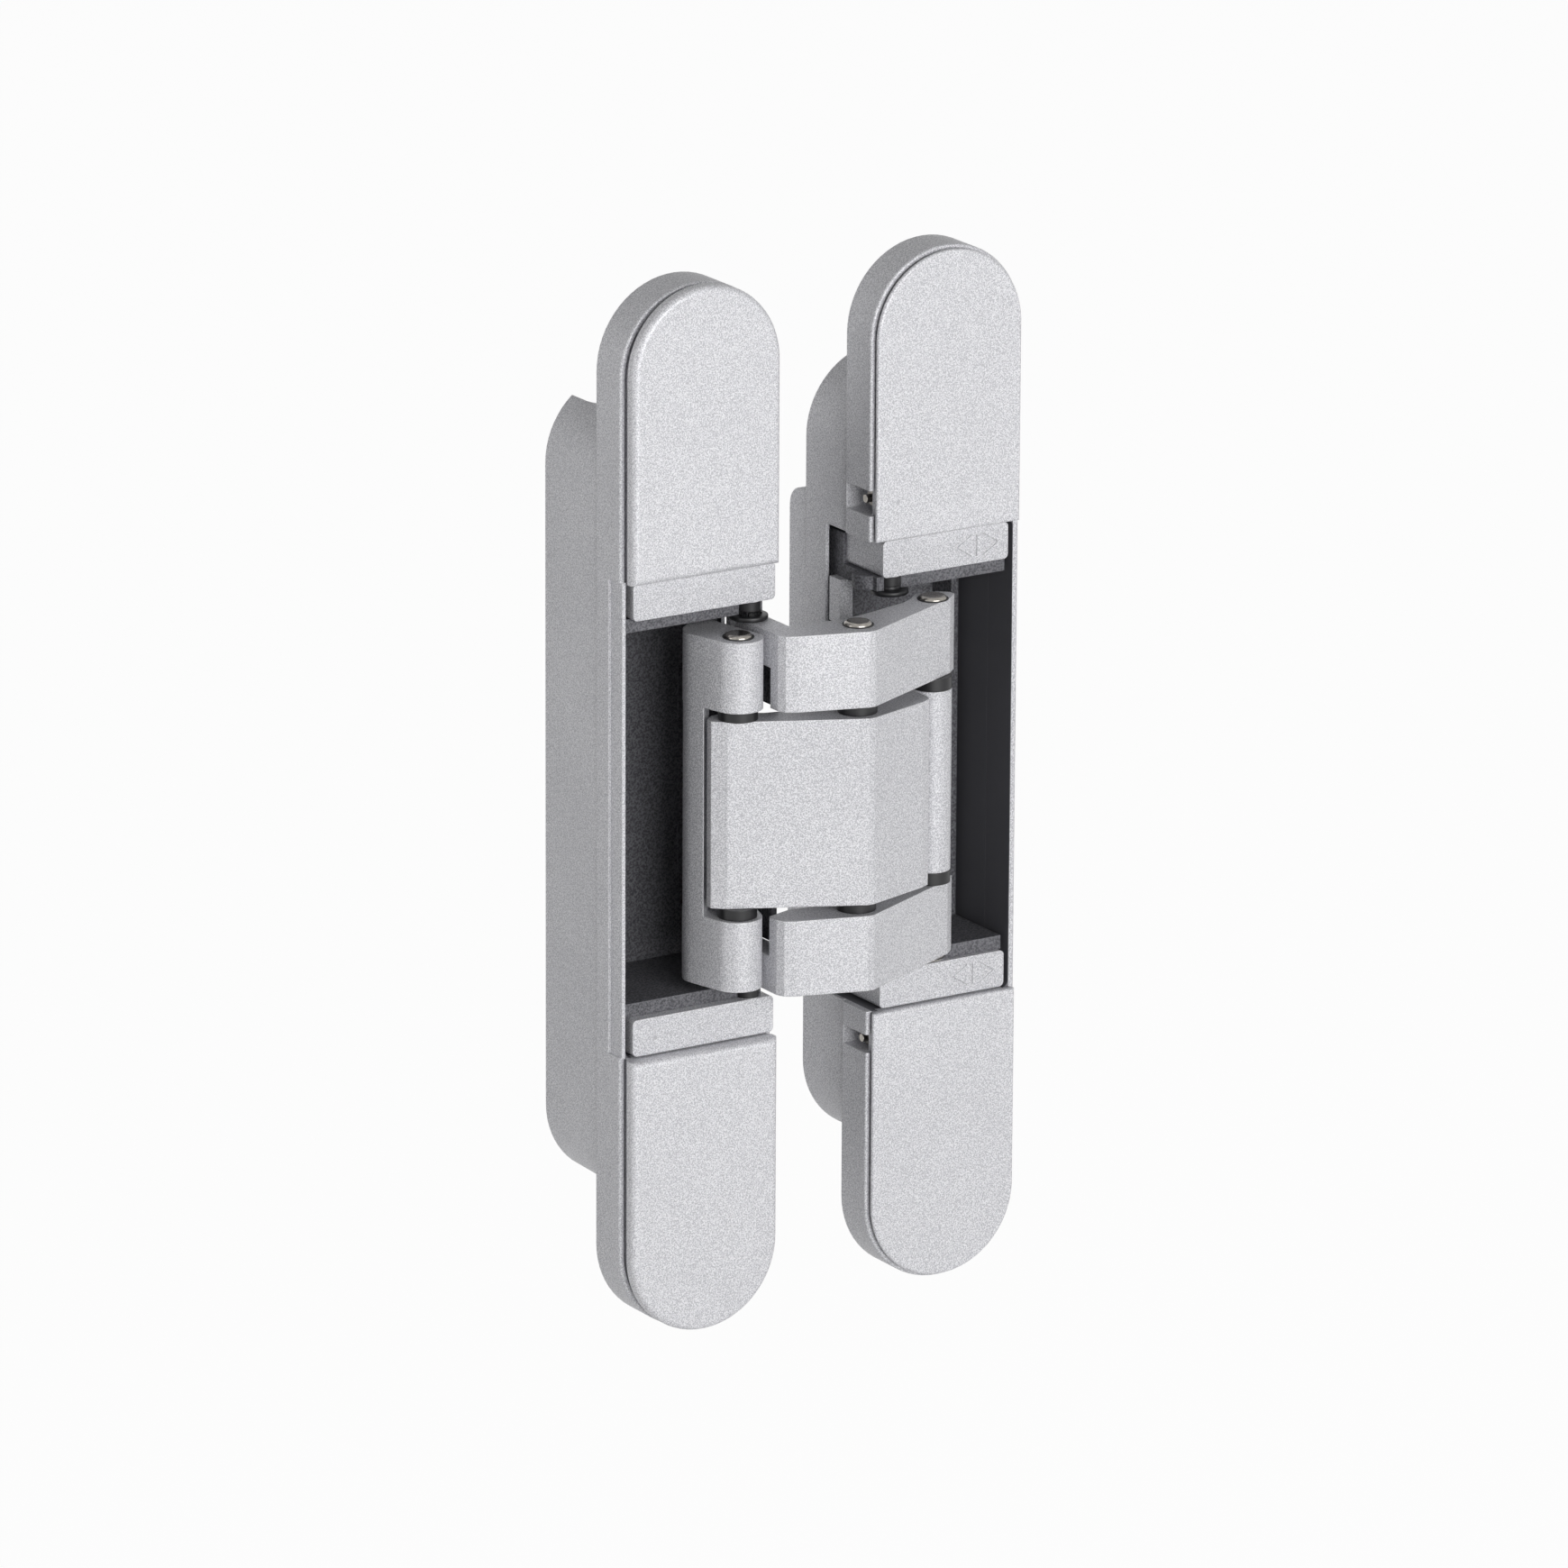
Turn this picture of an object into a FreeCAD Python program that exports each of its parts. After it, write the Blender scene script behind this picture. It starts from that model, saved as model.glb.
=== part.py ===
import FreeCAD, Part
import math
import os

os.makedirs("parts", exist_ok=True)
Vector = FreeCAD.Vector

# Driving sizes in millimetres.
# X runs from the left half to the right half, -Y out of the doors' edge, Z up.
# The origin is the middle of the left half's seat, the back of its flange.
LENGTH = 152.0
WIDTH = 25.0
HALF_SPACING = 41.0
FLANGE = 6.2
SCREW_FROM_END = 8.0
SCREW_HOLE_R = 2.3
SCREW_HEAD_R = 4.6

# Clearances.
RUNNING = 0.05
TRAY_GAP = 0.2
COVER_GAP = 0.35
HAIR = 0.02
SIDE_TRAVEL = 0.6

# Flange and rim.
RIM_WIDTH = 0.75
RIM_ROUND = 0.35
RECESS = 1.0

# Covers: a wall inside the rim, and a cap that overhangs it by a groove.
COVER_START = 34.6
COVER_WALL = 1.4
CAP_INSET = 0.5
CAP_END_INSETS = {"left": 0.0, "right": 0.5}
CAP_STARTS = {"left": 0.6, "right": 0.3}
CAP_THICKS = {"left": 2.35, "right": 0.85}
CAP_UNDERCUTS = {"left": 0.55, "right": 0.35}
CAP_ROUNDS = {"left": 0.9, "right": 0.4}
PEG_R = 1.5
PEG_LENGTH = 3.5
PEG_FROM_START = 7.4
PEG_FROM_SCREW = 10.0

# Left housing body behind the flange, scooped out round the screws.
BODY_INSET = 0.2
BODY_BACK_INSET = 0.6
LEFT_BODY_FROM_SCREW = 8.7
LEFT_DEPTH = 20.9
SCOOP_R = 14.0
SIDE_WALL = 1.0
FLOOR = 1.5
CAVITY_CORNER = 1.0
OUTER_WALL_STEP = 0.4
OUTER_WALL_STEP_DEPTH = 3.0

# Opening cut in the inner walls.
OPENING_TOP = 34.6
OPENING_BOTTOM = -34.45
OPENING_DEPTH = 12.0

# Right housing body: a shoulder, and a deeper box in the middle.
SEAM = 0.45
SEAM_INSET = 0.4
SHOULDER_INSET = 0.4
SHOULDER_FROM_SCREW = 9.8
SHOULDER_DEPTH = 17.3
DEEP_STEP = 4.7
DEEP_INSET = 0.7
DEEP_TOP = 38.0
DEEP_BOTTOM = -36.5
DEEP_FILLET = 3.0
NOTCH_DEPTH = 6.0
NOTCH_REACH = 3.6
UPPER_NOTCH = (38.3, 42.0)
LOWER_NOTCH = (-40.6, -37.9)

# Blocks at both ends of the opening.
BLOCK_Z0 = 29.0
BLOCK_Z1 = 34.35
BLOCK_DEPTH = 9.6
LEFT_BLOCK_RISE = 0.8
LEFT_BLOCK_X = (-10.75, 12.4)
RIGHT_BLOCK_X = (-10.2, 10.75)
BLOCK_ROUND = 0.7
BOSS_R = 1.6
BOSS_HEIGHT = 1.5
BOSS_PLACES = {"left": (11.4, -0.8), "right": (12.4, -1.6)}
MARK_LINE = 0.3
MARK_DEPTH = 0.2
MARK_HALF = 1.55
MARK_X = 5.4
MARK_HEAD = 2.5
MARK_HEAD_GAP = 0.95

# Linkage seen along Z: distance from the plane midway between the halves,
# then distance in front of the flange's face. The left half's own pivots
# are mirrored for the right half.
CENTRE_PIVOT = (0.0, 9.65)
KNUCKLE_PIVOT = (16.1, 3.95)
ARM_PIVOT = (10.4, -4.0)
LINK_PIVOT = (12.6, -5.8)
LINK_BORE_SHIFT = (0.416, 0.131)
LINK_BORE_PLAY = 0.5

# Pins.
CENTRE_PIN_R = 1.6
ARM_PIN_R = 1.4
LINK_PIN_R = 1.6
HEAD_R = 2.0
HEAD_HEIGHT = 0.6

# Arms.
ARM_EYE_R = 2.3
RIDGE_HALF = 0.5
RIDGE_HEIGHT = 13.55
LEG_OUTER = 12.4
LEG_INNER = 8.7
LEG_FULL_FROM = 6.5
LEG_TOP = 8.4
ARM_CORNER = ((-11.9, 9.7), (-10.4, 10.5))
ARM_END = ((18.4, 4.9), (20.1, 3.3), (20.1, 2.2), (18.6, 0.9), (16.9, 0.65), (15.1, 0.8))
ARM_BACK = ((13.6, 2.2), (11.5, 3.5), (8.3, 4.3), (4.9, 5.3), (0.0, 6.3), (-4.4, 5.7))
LEG_ROOT = 1.2

# Links.
LEFT_LINK_R = 3.5
RIGHT_LINK_R = 2.8
LINK_EYE_R = 3.4
LINK_BULGE = (17.3, -1.6)
LINK_BULGE_R = 3.8
WEB_THICK = 2.9
WEB_FROM = -3.0
WEB_CLEAR_R = 4.75
LINK_CUT = ((14.7, -12.0), (14.7, -5.7), (13.3, 1.5), (12.65, 3.95), (8.0, 3.95), (8.0, -12.0))

# Levels up and down from the middle: each pair is one band of the stack.
OUTER_ARM = (15.2, 26.2)
OUTER_LEG = (21.0, 26.2)
INNER_ARM = (0.0, 13.6)
INNER_LEG = (7.2, 13.6)
LEFT_LINK = (15.2, 25.4)
LEFT_LINK_EYE = (15.2, 20.5)
RIGHT_LINK = (0.0, 13.3)
RIGHT_LINK_EYE = (2.5, 6.7)
LEFT_EAR = (8.0, 15.0)
RIGHT_EAR = (0.0, 2.3)
RIGHT_ARM_EAR = (14.0, 20.0)
WASHER_R = 2.8

# Carriages inside the halves.
TRAY_FLOORS = {"left": 1.8, "right": 2.9}
TRAY_SKIRT = 1.2
TRAY_SKIRT_HEIGHT = 5.0
CHEEK_Z0 = 27.0
CHEEK_TOP = -0.8
EAR_R = 2.6
STEM_WIDTH = 2.95
STEM_SINK = 0.5
TRAY_END = 33.5

# Side screws and side key of the right half.
SIDE_SCREW_R = 1.15
SIDE_SCREW_TIP_R = 0.6
SIDE_SCREW_DEPTH = 2.9
SIDE_SCREW_START = 9.1
SIDE_SCREW_LENGTH = 6.0
KEY_BOTTOM = 20.6
KEY_DEPTHS = (8.5, 11.3)
KEY_FROM_SIDE = 0.6
KEY_SEAT = 0.9

# Sizes that follow from the driving ones.
MID = HALF_SPACING / 2.0
CENTRES = {"left": 0.0, "right": HALF_SPACING}
HALF = LENGTH / 2.0
HALF_WIDTH = WIDTH / 2.0
BODY_HALF_WIDTH = HALF_WIDTH - BODY_INSET
BODY_BACK_HALF_WIDTH = HALF_WIDTH - BODY_BACK_INSET
CAVITY_HALF_WIDTH = HALF_WIDTH - SIDE_WALL
SHOULDER_HALF_WIDTH = HALF_WIDTH - SHOULDER_INSET
DEEP_HALF_WIDTH = HALF_WIDTH - DEEP_INSET
SCREW_Z = HALF - SCREW_FROM_END
PEG_PLACES = (COVER_START + PEG_FROM_START, SCREW_Z - PEG_FROM_SCREW)
LEFT_BODY_HALF_LENGTH = SCREW_Z - LEFT_BODY_FROM_SCREW
SHOULDER_HALF_LENGTH = SCREW_Z - SHOULDER_FROM_SCREW
RIGHT_DEPTH = SHOULDER_DEPTH + DEEP_STEP
DEPTHS = {"left": LEFT_DEPTH, "right": RIGHT_DEPTH}
LEFT_TRAY_HALF_WIDTH = CAVITY_HALF_WIDTH - TRAY_GAP
TRAY_HALF_WIDTHS = {"left": LEFT_TRAY_HALF_WIDTH, "right": LEFT_TRAY_HALF_WIDTH - SIDE_TRAVEL}
STEM_INNER = MID - CAVITY_HALF_WIDTH + SIDE_TRAVEL + RUNNING
STEM_OUTER = STEM_INNER + STEM_WIDTH
WEB_OUTER = LINK_BULGE[0] + LINK_BULGE_R
WEB_FRONT = KNUCKLE_PIVOT[1] + LEFT_LINK_R


# Basic shapes.

def depth_y(n):
    """Y of a depth: n is the distance in front of the flange's face."""
    return -FLANGE - n


def box(x0, x1, n0, n1, z0, z1):
    """A box between two X, two depths n and two Z."""
    corner = Vector(min(x0, x1), depth_y(max(n0, n1)), min(z0, z1))
    return Part.makeBox(abs(x1 - x0), abs(n1 - n0), abs(z1 - z0), corner)


def plan(point, side):
    """A linkage point in the frame: side is -1 left and 1 right."""
    return Vector(MID + side * point[0], depth_y(point[1]), 0)


def post(point, side, radius, z0, z1):
    """A round post along Z at a linkage point."""
    base = plan(point, side) + Vector(0, 0, min(z0, z1))
    return Part.makeCylinder(radius, abs(z1 - z0), base)


def prism(points, side, z0, z1):
    """A straight-sided prism along Z over linkage points."""
    corners = [plan(point, side) + Vector(0, 0, min(z0, z1)) for point in points]
    face = Part.Face(Part.makePolygon(corners + corners[:1]))
    return face.extrude(Vector(0, 0, abs(z1 - z0)))


def wrap(circles, side, z0, z1):
    """A prism along Z whose outline is a belt round two or three circles."""
    shapes = [post(centre, side, radius, z0, z1) for centre, radius in circles]
    count = len(circles)
    for first in range(count):
        for second in range(first + 1, count):
            shapes.append(prism(belt(circles[first], circles[second]), side, z0, z1))
    if count > 2:
        shapes.append(prism([centre for centre, _ in circles], side, z0, z1))
    return join(shapes)


def belt(first, second):
    """The four tangent points of the belt round two circles."""
    (centre_a, radius_a), (centre_b, radius_b) = first, second
    dx = centre_b[0] - centre_a[0]
    dn = centre_b[1] - centre_a[1]
    heading = math.atan2(dn, dx)
    spread = math.acos((radius_a - radius_b) / math.hypot(dx, dn))
    points = []
    for centre, radius, turn in (
            (centre_a, radius_a, spread), (centre_b, radius_b, spread),
            (centre_b, radius_b, -spread), (centre_a, radius_a, -spread)):
        angle = heading + turn
        points.append((centre[0] + radius * math.cos(angle), centre[1] + radius * math.sin(angle)))
    return points


def join(shapes):
    """One clean shape from several that touch."""
    whole = shapes[0].multiFuse(shapes[1:]) if len(shapes) > 1 else shapes[0]
    return whole.removeSplitter()


def both(band):
    """The band above the middle and its mirror image below."""
    low, high = band
    if low == 0.0:
        return ((-high, high),)
    return ((low, high), (-high, -low))


def round_edges(shape, radius, wanted):
    """Rounds the edges that wanted() picks."""
    edges = [edge for edge in shape.Edges if wanted(edge)]
    return shape.makeFillet(radius, edges)


def lies_at(edge, n):
    """True where an edge lies in the plane of one depth."""
    y = depth_y(n)
    return abs(edge.BoundBox.YMin - y) < 1e-6 and abs(edge.BoundBox.YMax - y) < 1e-6


def along(edge, axis):
    """True where a straight edge runs along X, Y or Z (0, 1 or 2)."""
    if len(edge.Vertexes) != 2:
        return False
    step = edge.Vertexes[1].Point - edge.Vertexes[0].Point
    return abs(abs(step[axis]) - step.Length) < 1e-6


def save(node, shape):
    """Writes one node's file."""
    shape.exportStep("parts/" + node + ".step")


# Flange and covers.

def oblong_wire(x_centre, half_width, half_length, n):
    """The wire of a plate with half-round ends, at one depth."""
    y = depth_y(n)
    straight = half_length - half_width
    right_low = Vector(x_centre + half_width, y, -straight)
    right_high = Vector(x_centre + half_width, y, straight)
    left_high = Vector(x_centre - half_width, y, straight)
    left_low = Vector(x_centre - half_width, y, -straight)
    top = Part.Arc(right_high, Vector(x_centre, y, half_length), left_high)
    bottom = Part.Arc(left_low, Vector(x_centre, y, -half_length), right_low)
    return Part.Wire([
        Part.makeLine(right_low, right_high), top.toShape(),
        Part.makeLine(left_high, left_low), bottom.toShape()])


def oblong(x_centre, half_width, half_length, n0, n1):
    """A plate with half-round ends between two depths."""
    face = Part.Face(oblong_wire(x_centre, half_width, half_length, max(n0, n1)))
    return face.extrude(Vector(0, abs(n1 - n0), 0))


def tapered_oblong(x_centre, front_half_width, back_half_width, half_length, n_front, n_back):
    """An oblong block that narrows towards the back."""
    shrink = front_half_width - back_half_width
    front = oblong_wire(x_centre, front_half_width, half_length, n_front)
    back = oblong_wire(x_centre, back_half_width, half_length - shrink, n_back)
    return Part.makeLoft([front, back], True, True)


def flange_plate(x_centre):
    """The flange with its rim, cover seats, peg holes and screw holes."""
    plate = oblong(x_centre, HALF_WIDTH, HALF, 0.0, -FLANGE)
    plate = round_edges(plate, RIM_ROUND, lambda edge: lies_at(edge, 0.0))
    seat = oblong(x_centre, HALF_WIDTH - RIM_WIDTH, HALF - RIM_WIDTH, 0.0, -RECESS)
    middle = box(x_centre - WIDTH, x_centre + WIDTH, 1.0, -FLANGE, -COVER_START, COVER_START)
    plate = plate.cut(seat.cut(middle))
    for sign in (1, -1):
        plate = plate.cut(screw_hole(x_centre, sign * SCREW_Z))
        for place in PEG_PLACES:
            base = Vector(x_centre, depth_y(-RECESS), sign * place)
            plate = plate.cut(Part.makeCylinder(PEG_R + HAIR, PEG_LENGTH + COVER_GAP, base, Vector(0, 1, 0)))
    return plate


def screw_hole(x_centre, z):
    """A through hole with a countersink that opens to the front."""
    back = Vector(x_centre, -FLANGE - 1.0, z)
    hole = Part.makeCylinder(SCREW_HOLE_R, FLANGE + 2.0, back, Vector(0, 1, 0))
    sink_depth = SCREW_HEAD_R - SCREW_HOLE_R
    front = Vector(x_centre, depth_y(-RECESS), z)
    sink = Part.makeCone(SCREW_HEAD_R, SCREW_HOLE_R, sink_depth, front, Vector(0, 1, 0))
    return hole.fuse(sink)


def cover(name, sign):
    """A clip-on cover: a wall inside the rim, an overhanging cap and two pegs."""
    x_centre = CENTRES[name]
    cap_start = CAP_STARTS[name]
    rise = cap_start + CAP_THICKS[name]
    start = sign * COVER_START
    end = sign * LENGTH
    keep = box(x_centre - WIDTH, x_centre + WIDTH, rise, -RECESS, start, end)
    cap = oblong(x_centre, HALF_WIDTH - CAP_INSET, HALF - CAP_END_INSETS[name], rise, cap_start)
    cap = cap.common(keep)
    cap = round_edges(cap, CAP_ROUNDS[name], lambda edge: lies_at(edge, rise))
    under = [edge for edge in cap.Edges if lies_at(edge, cap_start)
             and edge.BoundBox.ZLength + abs(edge.BoundBox.Center.z - start) > COVER_GAP]
    cap = cap.makeChamfer(CAP_UNDERCUTS[name], under)
    inset = RIM_WIDTH + COVER_GAP
    wall = oblong(x_centre, HALF_WIDTH - inset, HALF - inset, cap_start + COVER_GAP, -RECESS)
    inner = inset + COVER_WALL
    hollow = oblong(x_centre, HALF_WIDTH - inner, HALF - inner, rise - COVER_WALL, -RECESS)
    hollow_start = sign * (COVER_START + COVER_WALL)
    keep_hollow = box(x_centre - WIDTH, x_centre + WIDTH, rise, -RECESS, hollow_start, end)
    shell = join([cap, wall.common(keep)]).cut(hollow.common(keep_hollow))
    pegs = []
    for place in PEG_PLACES:
        base = Vector(x_centre, depth_y(rise - COVER_WALL / 2.0), sign * place)
        length = rise - COVER_WALL / 2.0 + RECESS + PEG_LENGTH
        pegs.append(Part.makeCylinder(PEG_R, length, base, Vector(0, 1, 0)))
    return join([shell] + pegs)


# Housings.

def cavity(x_centre, z0, z1, depth):
    """The hollow for the carriage, open at the front."""
    hollow = box(x_centre - CAVITY_HALF_WIDTH, x_centre + CAVITY_HALF_WIDTH, 1.0, -depth, z0, z1)
    return round_edges(hollow, CAVITY_CORNER, lambda edge: along(edge, 1))


def inner_wall_cut(x_centre, side):
    """Takes down the wall that faces the other half, for the arms."""
    inner = x_centre - side * (HALF_WIDTH + 1.0)
    return box(inner, x_centre, 1.0, -OPENING_DEPTH, OPENING_BOTTOM, OPENING_TOP)


def outer_wall_step():
    """The small set-back of the left half's outer wall beside the opening."""
    outer = CENTRES["left"] - HALF_WIDTH
    inner = outer + OUTER_WALL_STEP
    return box(outer - 1.0, inner, 1.0, -OUTER_WALL_STEP_DEPTH, OPENING_BOTTOM, OPENING_TOP)


def left_housing():
    """Flange and body in one casting, the body's ends scooped round the screws."""
    x_centre = CENTRES["left"]
    body = tapered_oblong(
        x_centre, BODY_HALF_WIDTH, BODY_BACK_HALF_WIDTH, LEFT_BODY_HALF_LENGTH, -FLANGE, -LEFT_DEPTH)
    for sign in (1, -1):
        base = Vector(x_centre, depth_y(-FLANGE), sign * SCREW_Z)
        body = body.cut(Part.makeCylinder(SCOOP_R, LEFT_DEPTH, base, Vector(0, 1, 0)))
    shape = join([flange_plate(x_centre), body])
    shape = shape.cut(cavity(x_centre, -COVER_START, COVER_START, LEFT_DEPTH - FLOOR))
    shape = shape.cut(inner_wall_cut(x_centre, -1))
    return shape.cut(outer_wall_step())


def right_hollow():
    """Everything that is open inside the right half."""
    x_centre = CENTRES["right"]
    hollow = cavity(x_centre, -COVER_START, COVER_START, RIGHT_DEPTH - FLOOR)
    return join([hollow, inner_wall_cut(x_centre, 1)])


def notch(z_pair):
    """A window in the flange's inner side, open to the front."""
    inner = CENTRES["right"] - HALF_WIDTH
    return box(inner - 1.0, inner + NOTCH_REACH, 1.0, -NOTCH_DEPTH, z_pair[0], z_pair[1])


def right_flange():
    """The right half's flange, a plate of its own."""
    x_centre = CENTRES["right"]
    shape = flange_plate(x_centre).cut(right_hollow())
    for z_pair in (UPPER_NOTCH, LOWER_NOTCH):
        shape = shape.cut(notch(z_pair))
        shape = shape.cut(side_screw_hole(z_pair))
    return shape


def right_casting():
    """The right half's body: neck, shoulder and deep middle box."""
    x_centre = CENTRES["right"]
    neck_half = SHOULDER_HALF_WIDTH - SEAM_INSET
    neck = oblong(x_centre, neck_half, SHOULDER_HALF_LENGTH - SEAM_INSET, -FLANGE, -FLANGE - SEAM)
    shoulder = oblong(
        x_centre, SHOULDER_HALF_WIDTH, SHOULDER_HALF_LENGTH, -FLANGE - SEAM, -SHOULDER_DEPTH)
    deep = box(x_centre - DEEP_HALF_WIDTH, x_centre + DEEP_HALF_WIDTH, -SHOULDER_DEPTH, -RIGHT_DEPTH,
               DEEP_BOTTOM, DEEP_TOP)
    back = depth_y(-RIGHT_DEPTH)
    deep = round_edges(deep, DEEP_FILLET, lambda edge: along(edge, 0)
                       and abs(edge.BoundBox.YMax - back) < 1e-6)
    return join([neck, shoulder, deep]).cut(right_hollow())


# Blocks.

def block(side, z_sign):
    """One block at an end of the opening, with the round boss that faces the arms."""
    name = "left" if side < 0 else "right"
    x_pair = LEFT_BLOCK_X if side < 0 else RIGHT_BLOCK_X
    rise = LEFT_BLOCK_RISE if side < 0 else 0.0
    x_centre = CENTRES[name]
    shape = box(x_centre + x_pair[0], x_centre + x_pair[1], rise, -BLOCK_DEPTH,
                z_sign * BLOCK_Z0, z_sign * BLOCK_Z1)
    shape = round_edges(shape, BLOCK_ROUND, lambda edge: along(edge, 1))
    boss_end = z_sign * (BLOCK_Z0 - BOSS_HEIGHT)
    boss = post(BOSS_PLACES[name], side, BOSS_R, boss_end, z_sign * (BLOCK_Z0 + 1.0))
    shape = join([shape, boss])
    bore = post(ARM_PIVOT, side, ARM_PIN_R + HAIR, z_sign * (BLOCK_Z0 - 1.0), z_sign * (BLOCK_Z1 + 1.0))
    if side < 0:
        return shape.cut(bore)
    return shape.cut(arrow_mark(x_centre + MARK_X, z_sign * (BLOCK_Z0 + BLOCK_Z1) / 2.0))


def stroke(start, end):
    """A straight engraved line between two points on the block's face."""
    (x0, z0), (x1, z1) = start, end
    length = math.hypot(x1 - x0, z1 - z0)
    corner = Vector(0, depth_y(MARK_DEPTH), -MARK_LINE / 2.0)
    line = Part.makeBox(length, 2.0 * MARK_DEPTH, MARK_LINE, corner)
    line.rotate(Vector(0, 0, 0), Vector(0, 1, 0), -math.degrees(math.atan2(z1 - z0, x1 - x0)))
    line.translate(Vector(x0, 0, z0))
    return line


def arrow_mark(x, z):
    """The engraved mark: a bar with an arrowhead on each side."""
    lines = [stroke((x, z - MARK_HALF), (x, z + MARK_HALF))]
    for way in (1, -1):
        tip = (x + way * (MARK_HEAD_GAP + MARK_HEAD), z)
        for end in (1, -1):
            lines.append(stroke((x + way * MARK_HEAD_GAP, z + end * MARK_HALF), tip))
    return Part.makeCompound(lines)


# Arms and links.

def arm_outline():
    """The outer arm's outline without its leg, left end first."""
    ridge = ((-RIDGE_HALF, RIDGE_HEIGHT), (RIDGE_HALF, RIDGE_HEIGHT))
    leg = ((-LEG_OUTER, LEG_FULL_FROM), (-LEG_OUTER, LEG_TOP))
    root = ((-LEG_INNER, LEG_FULL_FROM - LEG_ROOT),)
    return list(leg + ARM_CORNER + ridge + ARM_END + ARM_BACK + root)


def arm_with_leg(way, band, leg_band):
    """One arm section: way is 1 for the outer arm, -1 for its mirror image."""
    low, high = band
    leg_low, leg_high = leg_band
    full = prism(arm_outline(), way, low, high)
    leg_points = [(-LEG_OUTER, LEG_FULL_FROM + 1.0), (-LEG_OUTER, ARM_PIVOT[1] + 1.0),
                  (-LEG_INNER, ARM_PIVOT[1] + 1.0), (-LEG_INNER, LEG_FULL_FROM + 1.0)]
    leg = prism(leg_points, way, leg_low, leg_high)
    eye = post(ARM_PIVOT, -way, ARM_EYE_R, leg_low, leg_high)
    root = prism([(-LEG_OUTER, ARM_PIVOT[1]), (-LEG_OUTER, ARM_PIVOT[1] + 1.5),
                  (-LEG_INNER, ARM_PIVOT[1] + 1.5), (-LEG_INNER, ARM_PIVOT[1])], way, leg_low, leg_high)
    return join([full, leg, root, eye])


def arm_bores(way, low, high):
    """The bores of the centre and knuckle pins through an arm."""
    return [post(CENTRE_PIVOT, 1, CENTRE_PIN_R + RUNNING, low, high),
            post(KNUCKLE_PIVOT, way, CENTRE_PIN_R + RUNNING, low, high)]


def outer_arm(z_sign):
    """One of the outer arm's two sections."""
    band = tuple(z_sign * level for level in OUTER_ARM)
    leg_band = tuple(z_sign * level for level in OUTER_LEG)
    shape = arm_with_leg(1, band, leg_band)
    for bore in arm_bores(1, *band):
        shape = shape.cut(bore)
    return shape.cut(post(ARM_PIVOT, -1, ARM_PIN_R + RUNNING, *leg_band))


def inner_arm():
    """The inner arm, with a forked leg."""
    reach = INNER_ARM[1]
    shapes = []
    for z_sign in (1, -1):
        band = (0.0, z_sign * reach)
        shapes.append(arm_with_leg(-1, band, tuple(z_sign * level for level in INNER_LEG)))
    shape = join(shapes)
    for bore in arm_bores(-1, -reach, reach) + [post(ARM_PIVOT, 1, ARM_PIN_R + RUNNING, -reach, reach)]:
        shape = shape.cut(bore)
    return shape


def link_bore_centre():
    """Where a link's enlarged bore sits at rest."""
    return (LINK_PIVOT[0] + LINK_BORE_SHIFT[0], LINK_PIVOT[1] + LINK_BORE_SHIFT[1])


def link(side, knuckle_r, band, eye_band):
    """A link: knuckle in front, enlarged bore behind, web on its outer side."""
    knuckle = (KNUCKLE_PIVOT, knuckle_r)
    bulge = (LINK_BULGE, LINK_BULGE_R)
    eye = (link_bore_centre(), LINK_EYE_R)
    split = (eye_band[1] + RUNNING, band[1])
    shapes = []
    for low, high in both(eye_band):
        shapes.append(wrap([knuckle, bulge, eye], side, low, high))
    for low, high in both(split):
        edge = min(abs(low), abs(high)) - RUNNING
        sign = 1 if high > 0 else -1
        flank = wrap([knuckle, bulge, eye], side, sign * edge, sign * band[1])
        shapes.append(flank.cut(prism(LINK_CUT, side, sign * edge, sign * band[1])))
    web_reach = eye_band[0]
    web = wrap([knuckle, bulge], side, -web_reach, web_reach)
    inner, outer, front = WEB_OUTER - WEB_THICK, WEB_OUTER + 1.0, WEB_FRONT + 1.0
    keep = prism([(inner, WEB_FROM), (outer, WEB_FROM), (outer, front), (inner, front)],
                 side, -web_reach, web_reach)
    web = web.common(keep)
    if side < 0:
        web = web.cut(post(KNUCKLE_PIVOT, side, WEB_CLEAR_R, -web_reach, web_reach))
    else:
        shapes.append(post(KNUCKLE_PIVOT, side, knuckle_r, -web_reach, web_reach))
    shape = join(shapes + [web])
    shape = shape.cut(post(KNUCKLE_PIVOT, side, CENTRE_PIN_R + RUNNING, -band[1], band[1]))
    for low, high in both(eye_band):
        shape = shape.cut(post(link_bore_centre(), side, LINK_PIN_R + LINK_BORE_PLAY, low, high))
    return shape


# Pins and washers.

def headed_pin(point, side, reach):
    """A round pin with a low domed head on both ends."""
    shapes = [post(point, side, CENTRE_PIN_R, -reach, reach)]
    for sign in (1, -1):
        base = plan(point, side) + Vector(0, 0, sign * reach)
        head = Part.makeCylinder(HEAD_R, HEAD_HEIGHT, base, Vector(0, 0, sign))
        crown = base.z + sign * HEAD_HEIGHT
        head = round_edges(head, HEAD_HEIGHT * 0.9, lambda edge: len(edge.Vertexes) == 1
                           and abs(edge.Vertexes[0].Z - crown) < 1e-6)
        shapes.append(head)
    return join(shapes)


def washers(point, side, low, high):
    """Two black washers, above and below the middle member."""
    rings = []
    for z0, z1 in both((low + RUNNING, high - RUNNING)):
        ring = post(point, side, WASHER_R, z0, z1)
        rings.append(ring.cut(post(point, side, CENTRE_PIN_R + RUNNING, z0, z1)))
    return Part.makeCompound(rings)


def stub_pins(point, side, radius, band):
    """Two short pins, one above and one below the middle."""
    return Part.makeCompound([post(point, side, radius, z0, z1) for z0, z1 in both(band)])


# Carriages.

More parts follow.
